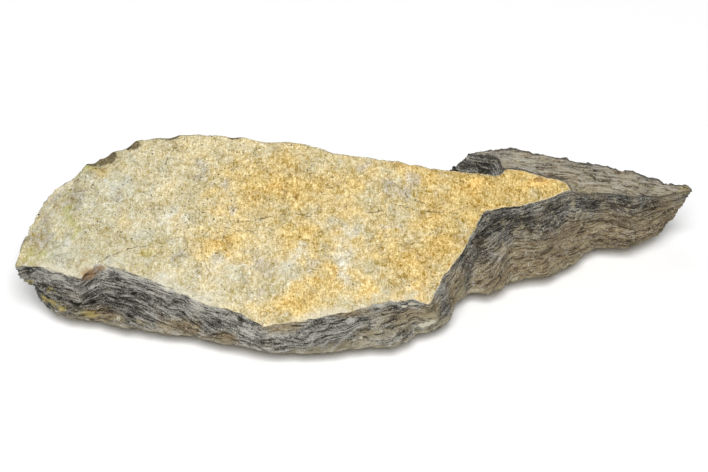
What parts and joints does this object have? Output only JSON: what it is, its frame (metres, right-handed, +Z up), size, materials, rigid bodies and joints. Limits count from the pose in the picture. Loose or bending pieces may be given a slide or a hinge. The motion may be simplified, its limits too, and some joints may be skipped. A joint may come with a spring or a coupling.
{
  "type": "fossil dinosaur bone section",
  "caption": "Wedge of fossil limb-bone wall lying flat: smooth leaning outer face on top, steep fibrous breaks all round, a deep notch at the back and a long pointed beak at one end.",
  "frame": {"origin": "middle of the bounding box in plan, on the surface it rests on", "axes": "+X along the bone's grain towards the beak, -Y to the front where the outer face leans, +Z up"},
  "size_m": [0.1852, 0.0602, 0.0323],
  "materials": {
    "fossil_bone": "matt mineralised bone: pale ochre outer skin, charcoal and brown fibrous breaks"
  },
  "bodies": {
    "root": {"bone_section": "fossil_bone"}
  },
  "joints": []
}
